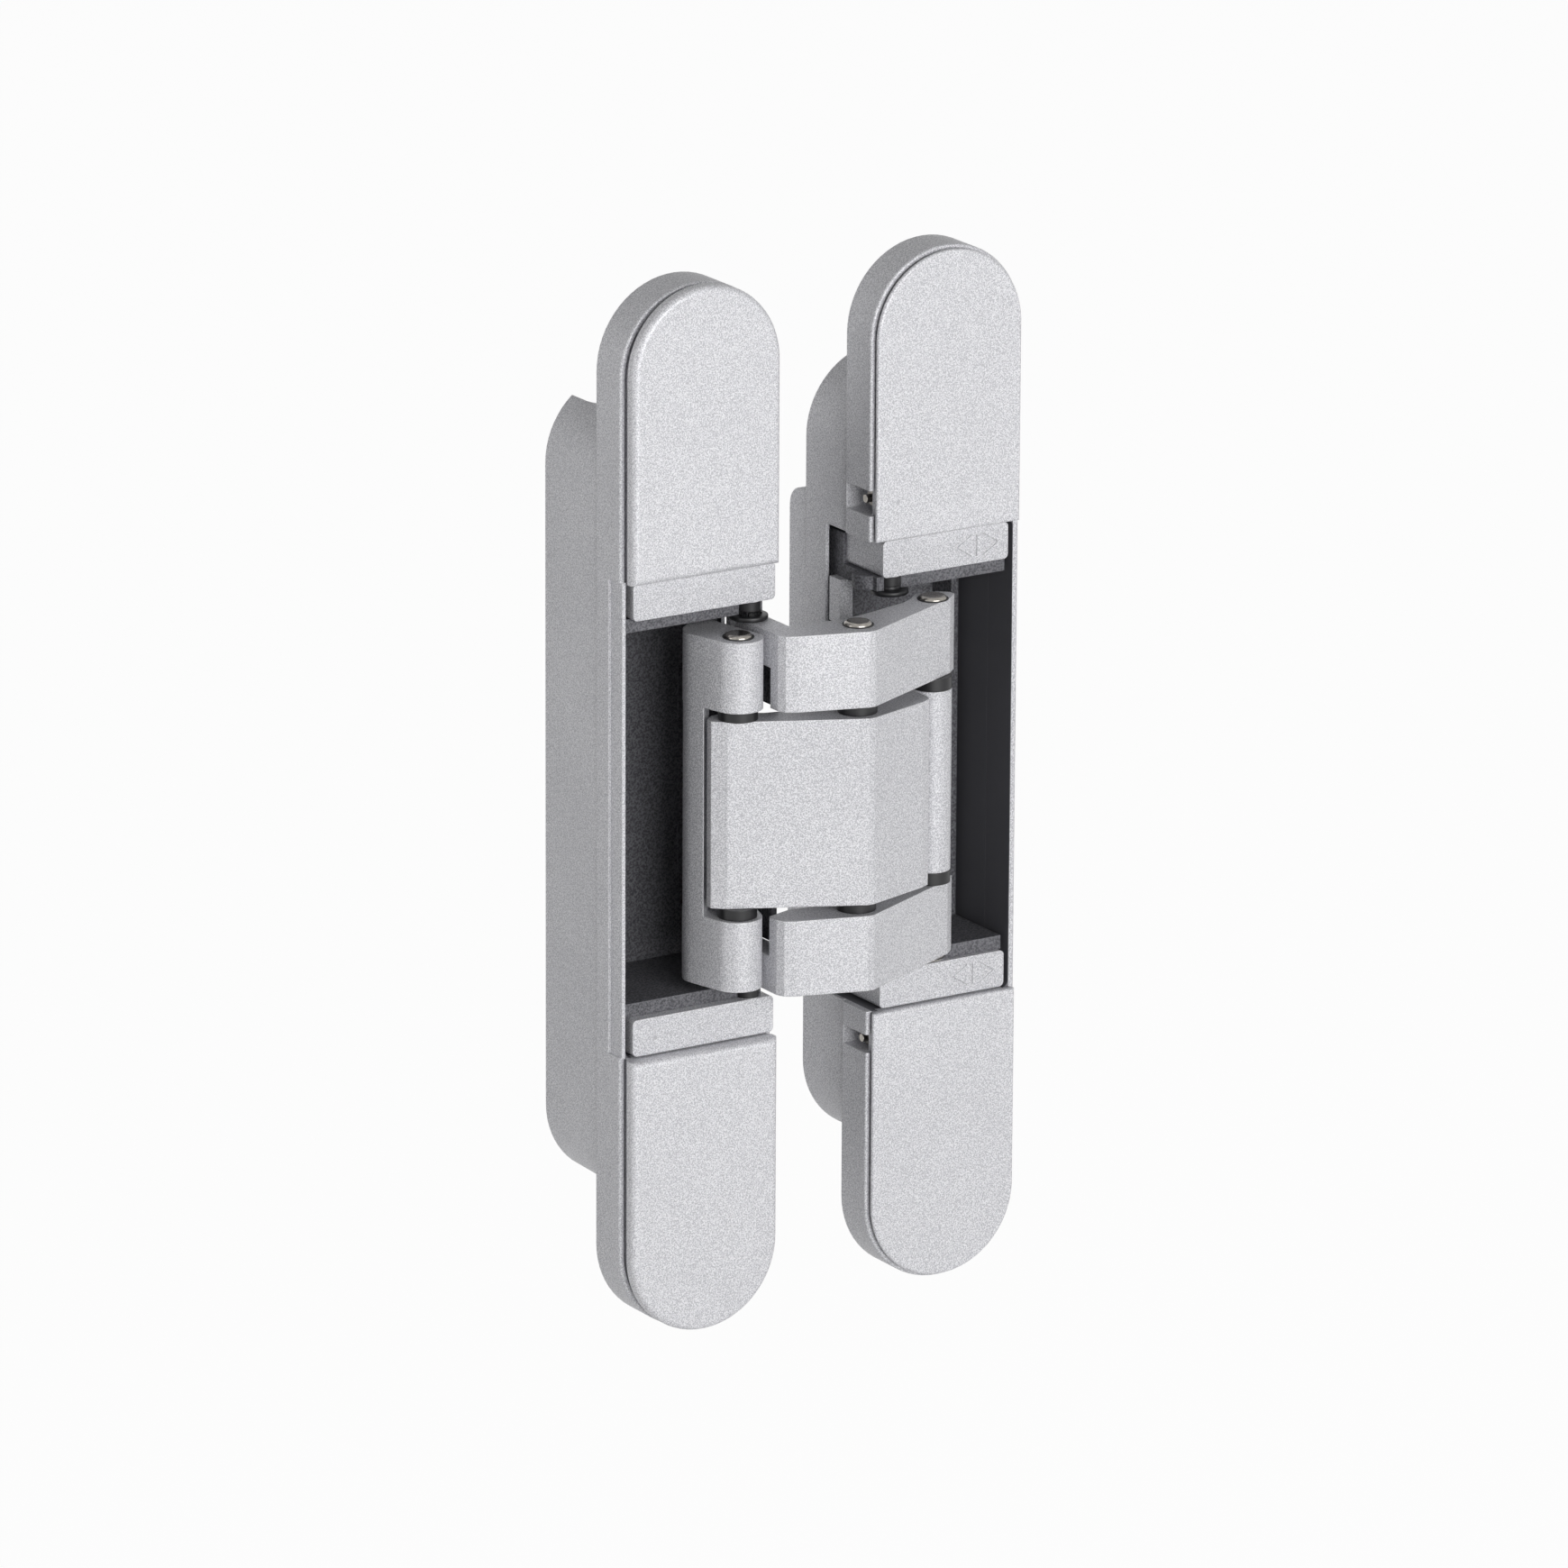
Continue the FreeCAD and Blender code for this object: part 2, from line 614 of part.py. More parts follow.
def tray_top(name):
    """Depth of the top of a carriage's floor."""
    return TRAY_FLOORS[name] + FLOOR - DEPTHS[name]


def tray(name):
    """Floor, low skirts and end cheeks, common to both carriages."""
    half = TRAY_HALF_WIDTHS[name]
    x0, x1 = CENTRES[name] - half, CENTRES[name] + half
    top = tray_top(name)
    shapes = [box(x0, x1, top, FLOOR - DEPTHS[name], -TRAY_END, TRAY_END)]
    for outer, inner in ((x0, x0 + TRAY_SKIRT), (x1, x1 - TRAY_SKIRT)):
        shapes.append(box(outer, inner, top + TRAY_SKIRT_HEIGHT, top, -TRAY_END, TRAY_END))
    for sign in (1, -1):
        block_foot = sign * BLOCK_Z0
        shapes.append(box(x0, x1, -BLOCK_DEPTH, top, block_foot, sign * TRAY_END))
        shapes.append(box(x0, x1, CHEEK_TOP, top, sign * CHEEK_Z0, block_foot))
    return shapes


def boss_recess(name, side, z_sign):
    """The cut in a cheek that clears a block's boss."""
    radius = BOSS_R + HAIR
    return post(BOSS_PLACES[name], side, radius, z_sign * (CHEEK_Z0 - 1.0), z_sign * BLOCK_Z0)


def cheek_boss(side):
    """The cheeks' round end that holds the arm pins."""
    lobes = []
    for z0, z1 in both((CHEEK_Z0, BLOCK_Z0)):
        lobes.append(post(ARM_PIVOT, side, ARM_EYE_R, z0, z1))
    return lobes


def left_carriage():
    """The dark casting inside the left half, with the pins' ears."""
    shapes = tray("left") + cheek_boss(-1)
    for z0, z1 in both(LEFT_EAR):
        shapes.append(post(LINK_PIVOT, -1, EAR_R, z0, z1))
        shapes.append(prism(stem_outline("left"), -1, z0, z1))
    shape = join(shapes)
    for sign in (1, -1):
        shape = shape.cut(boss_recess("left", -1, sign))
    for z0, z1 in both((CHEEK_Z0 - 1.0, TRAY_END + 1.0)):
        shape = shape.cut(post(ARM_PIVOT, -1, ARM_PIN_R, z0, z1))
    for z0, z1 in both(LEFT_EAR):
        shape = shape.cut(post(LINK_PIVOT, -1, LINK_PIN_R, z0, z1))
    return shape


def stem_outline(name):
    """The stem that carries a link pin's ear, down into the floor."""
    foot = tray_top(name) - STEM_SINK
    return [(LINK_PIVOT[0], LINK_PIVOT[1]), (LINK_PIVOT[0], foot),
            (STEM_INNER, foot), (STEM_INNER, LINK_PIVOT[1] - 1.0)]


def right_carriage():
    """The dark casting inside the right half, with the pins' ears."""
    shapes = tray("right") + cheek_boss(1)
    foot = tray_top("right") - STEM_SINK
    for z0, z1 in both(RIGHT_EAR):
        shapes.append(post(LINK_PIVOT, 1, EAR_R, z0, z1))
        shapes.append(prism(stem_outline("right"), 1, z0, z1))
    for z0, z1 in both(RIGHT_ARM_EAR):
        shapes.append(post(ARM_PIVOT, 1, ARM_EYE_R, z0, z1))
        shapes.append(prism([(STEM_INNER, ARM_PIVOT[1]), (STEM_OUTER, ARM_PIVOT[1]),
                             (STEM_OUTER, foot), (STEM_INNER, foot)], 1, z0, z1))
    shape = join(shapes)
    for sign in (1, -1):
        shape = shape.cut(boss_recess("right", 1, sign))
    for z0, z1 in both(RIGHT_ARM_EAR):
        shape = shape.cut(post(ARM_PIVOT, 1, ARM_PIN_R, z0, z1))
    for z0, z1 in both(RIGHT_EAR):
        shape = shape.cut(post(LINK_PIVOT, 1, LINK_PIN_R, z0, z1))
    return shape


# Small parts of the right half.

def side_screw_centre(z_pair):
    """The height of a side screw, the middle of its notch."""
    return (z_pair[0] + z_pair[1]) / 2.0


def side_screw_hole(z_pair):
    """The bore that holds a side screw in the flange."""
    start = Vector(MID + SIDE_SCREW_START, depth_y(-SIDE_SCREW_DEPTH), side_screw_centre(z_pair))
    return Part.makeCylinder(SIDE_SCREW_R, SIDE_SCREW_LENGTH + 1.0, start, Vector(1, 0, 0))


def side_screw(z_pair):
    """A grooved side screw with a narrow tip that shows in the notch."""
    height = side_screw_centre(z_pair)
    start = Vector(MID + SIDE_SCREW_START + 1.0, depth_y(-SIDE_SCREW_DEPTH), height)
    body = Part.makeCylinder(SIDE_SCREW_R, SIDE_SCREW_LENGTH, start, Vector(1, 0, 0))
    tip = Part.makeCylinder(SIDE_SCREW_TIP_R, 1.0, start - Vector(1, 0, 0), Vector(1, 0, 0))
    screw = join([body, tip])
    for step in range(3):
        place = start + Vector(0.45 + 0.7 * step, 0, 0)
        ring = Part.makeCylinder(SIDE_SCREW_R + 0.5, 0.3, place, Vector(1, 0, 0))
        core = Part.makeCylinder(SIDE_SCREW_R - 0.25, 0.3, place, Vector(1, 0, 0))
        screw = screw.cut(ring.cut(core))
    return screw


def side_key():
    """The bright key plate, seated under the right carriage's upper cheek."""
    inner = CENTRES["right"] - HALF_WIDTH + KEY_FROM_SIDE
    outer = CENTRES["right"] - TRAY_HALF_WIDTHS["right"] + KEY_SEAT
    return box(inner, outer, -KEY_DEPTHS[0], -KEY_DEPTHS[1], KEY_BOTTOM, CHEEK_Z0)


# Left half.
save("left_housing", left_housing())
save("left_carriage", left_carriage())
for label, z_way in (("top", 1), ("bottom", -1)):
    save("left_cover_" + label, cover("left", z_way))
    save("left_block_" + label, block(-1, z_way))
    save("outer_arm_" + label, outer_arm(z_way))
    save("right_cover_" + label, cover("right", z_way))
    save("right_block_" + label, block(1, z_way))
save("left_arm_pins", stub_pins(ARM_PIVOT, -1, ARM_PIN_R, (OUTER_LEG[0], BLOCK_Z1 - 1.0)))
save("left_link_pins", stub_pins(LINK_PIVOT, -1, LINK_PIN_R, (LEFT_EAR[0], LEFT_LINK_EYE[1] - 0.1)))

# Linkage.
save("centre_pin", headed_pin(CENTRE_PIVOT, 1, OUTER_ARM[1]))
save("centre_washers", washers(CENTRE_PIVOT, 1, INNER_ARM[1], OUTER_ARM[0]))
save("inner_arm", inner_arm())
save("left_knuckle_pin", headed_pin(KNUCKLE_PIVOT, -1, LEFT_LINK[1]))
save("left_knuckle_washers", washers(KNUCKLE_PIVOT, -1, INNER_ARM[1], LEFT_LINK[0]))
save("left_link", link(-1, LEFT_LINK_R, LEFT_LINK, LEFT_LINK_EYE))
save("right_knuckle_pin", headed_pin(KNUCKLE_PIVOT, 1, OUTER_ARM[1]))
save("right_knuckle_washers", washers(KNUCKLE_PIVOT, 1, RIGHT_LINK[1], OUTER_ARM[0]))
save("right_link", link(1, RIGHT_LINK_R, RIGHT_LINK, RIGHT_LINK_EYE))

# Right half.
save("right_flange", right_flange())
save("right_casting", right_casting())
save("right_carriage", right_carriage())
save("right_arm_pins", stub_pins(ARM_PIVOT, 1, ARM_PIN_R, (INNER_LEG[0], RIGHT_ARM_EAR[1])))
save("right_link_pin", post(LINK_PIVOT, 1, LINK_PIN_R, -RIGHT_LINK_EYE[1], RIGHT_LINK_EYE[1]))
save("right_side_screws", Part.makeCompound([side_screw(UPPER_NOTCH), side_screw(LOWER_NOTCH)]))
save("right_side_key", side_key())
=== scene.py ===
"""Looks of a concealed door hinge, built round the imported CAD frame.

The hinge hangs opened to 180 degrees, as in the photograph: two slim halves
side by side and the crossed arms between them. Every length in this file is
in millimetres unless its name says otherwise, and MM turns it to metres.
"""

import logging
import math
from dataclasses import dataclass, field, replace
from enum import Enum
from typing import Any, Iterable

import bpy
from mathutils import Matrix, Vector

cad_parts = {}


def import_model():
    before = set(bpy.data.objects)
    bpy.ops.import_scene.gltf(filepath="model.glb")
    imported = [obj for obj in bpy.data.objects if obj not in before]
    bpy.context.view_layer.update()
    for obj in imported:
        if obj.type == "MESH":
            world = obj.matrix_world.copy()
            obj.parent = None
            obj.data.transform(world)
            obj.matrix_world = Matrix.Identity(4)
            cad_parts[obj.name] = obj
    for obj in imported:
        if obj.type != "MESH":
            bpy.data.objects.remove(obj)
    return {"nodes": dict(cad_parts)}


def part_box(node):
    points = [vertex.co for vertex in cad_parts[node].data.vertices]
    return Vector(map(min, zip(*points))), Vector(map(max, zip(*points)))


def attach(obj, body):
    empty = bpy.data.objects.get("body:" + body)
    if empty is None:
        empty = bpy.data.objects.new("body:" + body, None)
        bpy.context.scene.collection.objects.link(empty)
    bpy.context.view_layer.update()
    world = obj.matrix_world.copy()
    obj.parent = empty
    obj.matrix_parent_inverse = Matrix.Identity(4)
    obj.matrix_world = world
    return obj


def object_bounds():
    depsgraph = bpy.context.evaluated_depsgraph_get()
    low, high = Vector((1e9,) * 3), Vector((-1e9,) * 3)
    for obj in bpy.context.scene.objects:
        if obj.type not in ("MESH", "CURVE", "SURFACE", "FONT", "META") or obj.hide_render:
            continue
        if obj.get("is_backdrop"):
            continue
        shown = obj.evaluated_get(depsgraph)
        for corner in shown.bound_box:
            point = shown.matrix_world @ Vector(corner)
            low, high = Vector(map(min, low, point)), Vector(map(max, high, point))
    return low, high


MM = 0.001
# The sRGB curve: a straight foot up to the knee, and a power above it.
SRGB_KNEE = 0.04045
SRGB_SLOPE = 12.92
SRGB_OFFSET = 0.055
SRGB_POWER = 2.4
WHITE = (1.0, 1.0, 1.0, 1.0)
# A face looks along an axis when its normal has more than this share of it.
FACING = 0.9
# Corners of the modelled pieces: steps in a rounding, and the sharpest angle shaded as smooth.
ROUNDING_SEGMENTS = 2
SMOOTH_ANGLE = math.radians(40.0)
log = logging.getLogger("hinge")
Nodes = dict[str, bpy.types.Object]


class End(Enum):
    """The two ends of a half, an arm or a pin, with their direction along Z."""

    TOP = 1
    BOTTOM = -1

    @property
    def word(self) -> str:
        """The end's name as the CAD nodes write it."""
        return self.name.lower()

    @property
    def opposite(self) -> "End":
        """The other end."""
        return End.BOTTOM if self is End.TOP else End.TOP


class Grain(Enum):
    """How the fine grain of a surface is drawn: its octaves and their falloff."""

    SPARKLE = (1.0, 0.45)
    CAST = (2.0, 0.6)
    SOFT = (3.0, 0.5)


def hex_to_linear(code: str) -> tuple[float, float, float, float]:
    """Turns an sRGB hex colour into Blender's linear colour.

    Args:
        code: Six hex digits after a hash mark.

    Returns:
        Linear red, green, blue and an alpha of one.
    """
    parts = []
    for start in (1, 3, 5):
        value = int(code[start:start + 2], 16) / 255.0
        if value <= SRGB_KNEE:
            parts.append(value / SRGB_SLOPE)
        else:
            parts.append(((value + SRGB_OFFSET) / (1.0 + SRGB_OFFSET)) ** SRGB_POWER)
    return (parts[0], parts[1], parts[2], 1.0)


def add_node(tree: bpy.types.NodeTree, kind: str, settings: dict[str, Any] | None = None,
             inputs: dict[str, Any] | None = None) -> bpy.types.Node:
    """Adds a shader node with its settings and its inputs.

    Args:
        tree: The node tree that receives the node.
        kind: The node's type name.
        settings: Attributes set on the node itself.
        inputs: Values for input sockets, or output sockets to link to them.

    Returns:
        The new node.
    """
    node = tree.nodes.new(kind)
    for name, value in (settings or {}).items():
        setattr(node, name, value)
    for name, value in (inputs or {}).items():
        socket = node.inputs[int(name)] if name.isdigit() else node.inputs[name]
        if isinstance(value, bpy.types.NodeSocket):
            tree.links.new(value, socket)
        else:
            socket.default_value = value
    return node


def per_metre(size_mm: float) -> float:
    """Noise scale whose features are about size_mm wide on Object coordinates."""
    return 1.0 / (size_mm * MM)


@dataclass(frozen=True)
class Blemish:
    """A small mark in a surface.

    Attributes:
        place: Where it lies in the frame.
        radius: Its radius.
        depth: Share of the dull colour in it, from none to all.
    """

    place: tuple[float, float, float]
    radius: float
    depth: float


@dataclass(frozen=True)
class DarkenedBox:
    """A darker colour on the faces that lie in a box about the middle, such as a hollow's walls and floor,
    and painted shade on the bosses under the end blocks.

    Attributes:
        centre_x: Middle of the box along X.
        half_width: Half its width, with a hair of the wall.
        half_length: Half its length along Z, with a hair of the wall.
        floor: How deep it reaches along Y, with a hair of the floor.
        colour: The darker colour.
    """

    centre_x: float
    half_width: float
    half_length: float
    floor: float
    colour: str


@dataclass(frozen=True)
class Finish:
    """A surface with a fine grain, slow patches and a painted highlight on its edges.

    Attributes:
        name: Common name of the material and how its surface was made.
        colour: Colour of the clean surface.
        deep: Colour of the low, dull grains.
        edge_highlight_colour: Lighter colour painted on the edges as a highlight.
        metallic: How far the surface is bare metal.
        roughness: Middle roughness.
        spread: How much the roughness wanders.
        grain: How the grain is drawn.
        grain_size: Width of one grain.
        grain_height: Height of the grain for the bump.
        grain_contrast: Share of the deep colour in the grain.
        patch_contrast: Share of the deep colour in the slow patches.
        edge: Radius of the rounded edges.
        edge_highlight_share: Share of the painted highlight colour on the edges.
        blemishes: Small marks at fixed places.
        darkened_box: The darker colour on the faces in a box, if there is one.
    """

    name: str
    colour: str
    deep: str
    edge_highlight_colour: str
    metallic: float
    roughness: float
    spread: float
    grain: Grain
    grain_size: float
    grain_height: float
    grain_contrast: float
    patch_contrast: float
    edge: float
    edge_highlight_share: float
    blemishes: tuple[Blemish, ...] = ()
    darkened_box: DarkenedBox | None = None

    def build(self) -> bpy.types.Material:
        """Builds the node material.

        Returns:
            The finished material.
        """
        material = bpy.data.materials.new(self.name)
        material.use_nodes = True
        tree = material.node_tree
        tree.nodes.clear()
        place = add_node(tree, "ShaderNodeTexCoord").outputs["Object"]
        octaves, falloff = self.grain.value
        turned = add_node(tree, "ShaderNodeMapping", {}, {"Vector": place, "Rotation": GRAIN_TURN})
        grain = add_node(tree, "ShaderNodeTexNoise", {}, {
            "Vector": turned.outputs["Vector"], "Scale": per_metre(self.grain_size),
            "Detail": octaves, "Roughness": falloff})
        patch_octaves, patch_falloff = Grain.SOFT.value
        patch = add_node(tree, "ShaderNodeTexNoise", {}, {
            "Vector": place, "Scale": per_metre(PATCH_SIZE),
            "Detail": patch_octaves, "Roughness": patch_falloff})
        edge = add_node(tree, "ShaderNodeBevel", {"samples": BEVEL_SAMPLES}, {"Radius": self.edge * MM})
        tone = self._marked(tree, place, self._tone(tree, grain.outputs["Fac"], patch.outputs["Fac"]))
        colour = add_node(tree, "ShaderNodeMix", {"data_type": "RGBA"}, {
            "0": tone, "6": hex_to_linear(self.colour), "7": hex_to_linear(self.deep)})
        # The edges take a lighter colour as a painted highlight.
        highlighted = add_node(tree, "ShaderNodeMix", {"data_type": "RGBA"}, {
            "0": self._edge_highlight(tree, edge.outputs["Normal"]),
            "6": colour.outputs[2], "7": hex_to_linear(self.edge_highlight_colour)})
        final = self._darkened_in_box(tree, place, highlighted.outputs[2])
        rough = add_node(tree, "ShaderNodeMapRange", {}, {
            "Value": patch.outputs["Fac"], "From Min": PATCH_RANGE[0], "From Max": PATCH_RANGE[1],
            "To Min": self.roughness - self.spread, "To Max": self.roughness + self.spread})
        bump = add_node(tree, "ShaderNodeBump", {}, {
            "Strength": 1.0, "Distance": self.grain_height * MM,
            "Height": grain.outputs["Fac"], "Normal": edge.outputs["Normal"]})
        surface = add_node(tree, "ShaderNodeBsdfPrincipled", {}, {
            "Base Color": final, "Metallic": self.metallic,
            "Roughness": rough.outputs["Result"], "Normal": bump.outputs["Normal"]})
        add_node(tree, "ShaderNodeOutputMaterial", {}, {"Surface": surface.outputs["BSDF"]})
        return material

    def _tone(self, tree: bpy.types.NodeTree, grain: bpy.types.NodeSocket,
              patch: bpy.types.NodeSocket) -> bpy.types.NodeSocket:
        """Adds the grain and the patches up to the share of the deep colour.

        Args:
            tree: The material's node tree.
            grain: The fine noise.
            patch: The slow noise.

        Returns:
            The share of the deep colour.
        """
        fine = add_node(tree, "ShaderNodeMapRange", {}, {
            "Value": grain, "From Min": GRAIN_RANGE[0], "From Max": GRAIN_RANGE[1],
            "To Min": self.grain_contrast, "To Max": 0.0})
        slow = add_node(tree, "ShaderNodeMapRange", {}, {
            "Value": patch, "From Min": PATCH_RANGE[0], "From Max": PATCH_RANGE[1],
            "To Min": 0.0, "To Max": self.patch_contrast})
        both = add_node(tree, "ShaderNodeMath", {"operation": "ADD"}, {
            "0": fine.outputs["Result"], "1": slow.outputs["Result"]})
        return both.outputs["Value"]

    def _marked(self, tree: bpy.types.NodeTree, place: bpy.types.NodeSocket,
                tone: bpy.types.NodeSocket) -> bpy.types.NodeSocket:
        """Darkens the tone at each blemish.

        Args:
            tree: The material's node tree.
            place: The Object coordinates.
            tone: The share of the deep colour so far.

        Returns:
            The share of the deep colour with the blemishes.
        """
        for blemish in self.blemishes:
            centre = tuple(value * MM for value in blemish.place)
            radius = blemish.radius * MM
            away = add_node(tree, "ShaderNodeVectorMath", {"operation": "DISTANCE"}, {
                "0": place, "1": centre})
            spot = add_node(tree, "ShaderNodeMapRange", {}, {
                "Value": away.outputs["Value"], "From Min": radius * BLEMISH_CORE,
                "From Max": radius, "To Min": blemish.depth, "To Max": 0.0})
            total = add_node(tree, "ShaderNodeMath", {"operation": "ADD"}, {
                "0": tone, "1": spot.outputs["Result"]})
            tone = total.outputs["Value"]
        return tone

    def _darkened_in_box(self, tree: bpy.types.NodeTree, place: bpy.types.NodeSocket,
                colour: bpy.types.NodeSocket) -> bpy.types.NodeSocket:
        """Paints the darker colour on the faces inside its box.

        Args:
            tree: The material's node tree.
            place: The Object coordinates.
            colour: The colour of the outer skin.

        Returns:
            The colour, darker inside the box.
        """
        darkening = self.darkened_box
        if darkening is None:
            return colour
        parts = add_node(tree, "ShaderNodeSeparateXYZ", {}, {"Vector": place})
        across = add_node(tree, "ShaderNodeMath", {"operation": "SUBTRACT"}, {
            "0": parts.outputs["X"], "1": darkening.centre_x * MM})
        share: Any = 1.0
        bounds = (
            (across.outputs["Value"], darkening.half_width),
            (parts.outputs["Z"], darkening.half_length),
            (parts.outputs["Y"], darkening.floor))
        for distance, limit in bounds:
            away = add_node(tree, "ShaderNodeMath", {"operation": "ABSOLUTE"}, {"0": distance})
            within = add_node(tree, "ShaderNodeMath", {"operation": "LESS_THAN"}, {
                "0": away.outputs["Value"], "1": limit * MM})
            product = add_node(tree, "ShaderNodeMath", {"operation": "MULTIPLY"}, {
                "0": within.outputs["Value"], "1": share})
            share = product.outputs["Value"]
        mixed = add_node(tree, "ShaderNodeMix", {"data_type": "RGBA"}, {
            "0": share, "6": colour, "7": hex_to_linear(darkening.colour)})
        return mixed.outputs[2]

    def _edge_highlight(self, tree: bpy.types.NodeTree, rounded: bpy.types.NodeSocket) -> bpy.types.NodeSocket:
        """Finds the edges for the painted highlight, where the rounded normal leaves the face's own.

        Args:
            tree: The material's node tree.
            rounded: The normal of the rounded surface.

        Returns:
            The share of the painted highlight colour.
        """
        face = add_node(tree, "ShaderNodeNewGeometry").outputs["Normal"]
        same = add_node(tree, "ShaderNodeVectorMath", {"operation": "DOT_PRODUCT"}, {
            "0": rounded, "1": face})
        share = add_node(tree, "ShaderNodeMapRange", {}, {
            "Value": same.outputs["Value"], "From Min": EDGE_HIGHLIGHT_RANGE[0], "From Max": EDGE_HIGHLIGHT_RANGE[1],
            "To Min": self.edge_highlight_share, "To Max": 0.0})
        return share.outputs["Result"]


# The patches of duller and clearer plating are about this wide on every surface.
PATCH_SIZE = 16.0
# Most of a noise's values lie in these ranges: the grain's is narrow, for a crisp grain.
PATCH_RANGE = (0.3, 0.7)
GRAIN_RANGE = (0.4, 0.6)
# The grain is turned out of the faces' planes, where its pattern would fade.
GRAIN_TURN = (0.5, 0.3, 0.7)
# Rays that look for each rounded edge, and the agreement of the rounded and the flat normal
# from the full painted edge highlight to none.
BEVEL_SAMPLES = 6
EDGE_HIGHLIGHT_RANGE = (0.8, 0.995)
# A blemish has its full depth within this share of its radius.
BLEMISH_CORE = 0.5

# Places of the darker boxes, from the halves' own sizes and a hair more.
RIGHT_HALF_X = 41.0
HOLLOW_HALF_WIDTH = 11.56
HOLLOW_HALF_LENGTH = 34.7
LEFT_HOLLOW_FLOOR = 13.25
RIGHT_HOLLOW_FLOOR = 14.35
# Below this height above the middle, the end blocks have only their bosses. The bosses' box
# of painted shade is wider and deeper than both halves.
BOSS_HALF_LENGTH = 28.95
BOSS_SHADE_HALF_WIDTH = 35.0
BOSS_SHADE_DEPTH = 20.0

# Zinc casting, bead-blasted and plated with satin nickel: a pale, even grey with a fine
# salt-and-pepper grain, and a lighter colour on its edges as a painted highlight. The blasted
# skin scatters most light, so it acts as metal in part only. The grain is about 0.1 mm wide
# and is drawn at 0.17 mm, so that it shows.
SATIN_NICKEL_CASTING = Finish(
    name="satin_nickel_plated_blasted_zinc_casting", colour="#E9E9EC", deep="#B4B4B9", edge_highlight_colour="#F4F4F6",
    metallic=0.15, roughness=0.45, spread=0.03, grain=Grain.SPARKLE, grain_size=0.17, grain_height=0.012,
    grain_contrast=1.0, patch_contrast=0.12, edge=0.25, edge_highlight_share=0.5)
# The hollows of both halves are painted darker on their walls and floor, by place.
LEFT_CASTING = replace(
    SATIN_NICKEL_CASTING, name="satin_nickel_plated_left_casting_dark_inside",
    darkened_box=DarkenedBox(
        centre_x=0.0, half_width=HOLLOW_HALF_WIDTH, half_length=HOLLOW_HALF_LENGTH,
        floor=LEFT_HOLLOW_FLOOR, colour="#636368"))
RIGHT_CASTING = replace(
    SATIN_NICKEL_CASTING, name="satin_nickel_plated_right_casting_dark_inside",
    darkened_box=DarkenedBox(
        centre_x=RIGHT_HALF_X, half_width=HOLLOW_HALF_WIDTH, half_length=HOLLOW_HALF_LENGTH,
        floor=RIGHT_HOLLOW_FLOOR, colour="#636368"))
# The end blocks are plated like the castings. Their bosses are painted near black as the
# shade under the blocks, and a pip shows on the left lower block.
BLOCK_CASTING = replace(
    SATIN_NICKEL_CASTING, name="satin_nickel_plated_block_black_sleeved_boss",
    blemishes=(Blemish((-7.1, -7.0, -32.0), 0.4, 1.2),),
    # The bosses' near-black colour is painted shade.
    darkened_box=DarkenedBox(
        centre_x=RIGHT_HALF_X / 2.0, half_width=BOSS_SHADE_HALF_WIDTH, half_length=BOSS_HALF_LENGTH,
        floor=BOSS_SHADE_DEPTH, colour="#1E1E20"))
# The covers carry the same plating on a finer skin, with the same painted edge highlight. A nick shows on
# the right upper cover.
SATIN_NICKEL_COVER = Finish(
    name="satin_nickel_plated_smooth_cover", colour="#F1F1F4", deep="#BDBDC2", edge_highlight_colour="#F6F6F8",
    metallic=0.15, roughness=0.42, spread=0.03, grain=Grain.SPARKLE, grain_size=0.17, grain_height=0.010,
    grain_contrast=1.0, patch_contrast=0.10, edge=0.2, edge_highlight_share=0.5,
    blemishes=(Blemish((32.5, -7.35, 40.2), 0.35, 3.0),))
# Turned steel pins with bright nickel: smooth and mirror-like with faint handling marks and a painted edge
# highlight.
BRIGHT_NICKEL_PIN = Finish(
    name="bright_nickel_plated_turned_steel", colour="#A19D97", deep="#716D67", edge_highlight_colour="#E6E1DA",
    metallic=1.0, roughness=0.2, spread=0.05, grain=Grain.SOFT, grain_size=0.6, grain_height=0.002,
    grain_contrast=0.35, patch_contrast=0.1, edge=0.12, edge_highlight_share=0.3)
# Zinc casting with a charcoal coat: dark, slightly rough, with a faint grey shine painted on
# its edges. Its grit is about 0.1 mm wide and is drawn at 0.3 mm, so that it shows in the dark.
CHARCOAL_CASTING = Finish(
    name="charcoal_coated_zinc_casting", colour="#77777C", deep="#46464A", edge_highlight_colour="#95959A",
    metallic=0.2, roughness=0.6, spread=0.06, grain=Grain.CAST, grain_size=0.3, grain_height=0.015,
    grain_contrast=0.9, patch_contrast=0.15, edge=0.3, edge_highlight_share=0.4)
# Moulded acetal washers: black with a soft sheen and a painted highlight on their edges.
BLACK_WASHER = Finish(
    name="black_moulded_acetal_washer", colour="#1B1B1D", deep="#101012", edge_highlight_colour="#343438",
    metallic=0.0, roughness=0.38, spread=0.05, grain=Grain.SOFT, grain_size=0.8, grain_height=0.004,
    grain_contrast=0.4, patch_contrast=0.1, edge=0.15, edge_highlight_share=0.4)


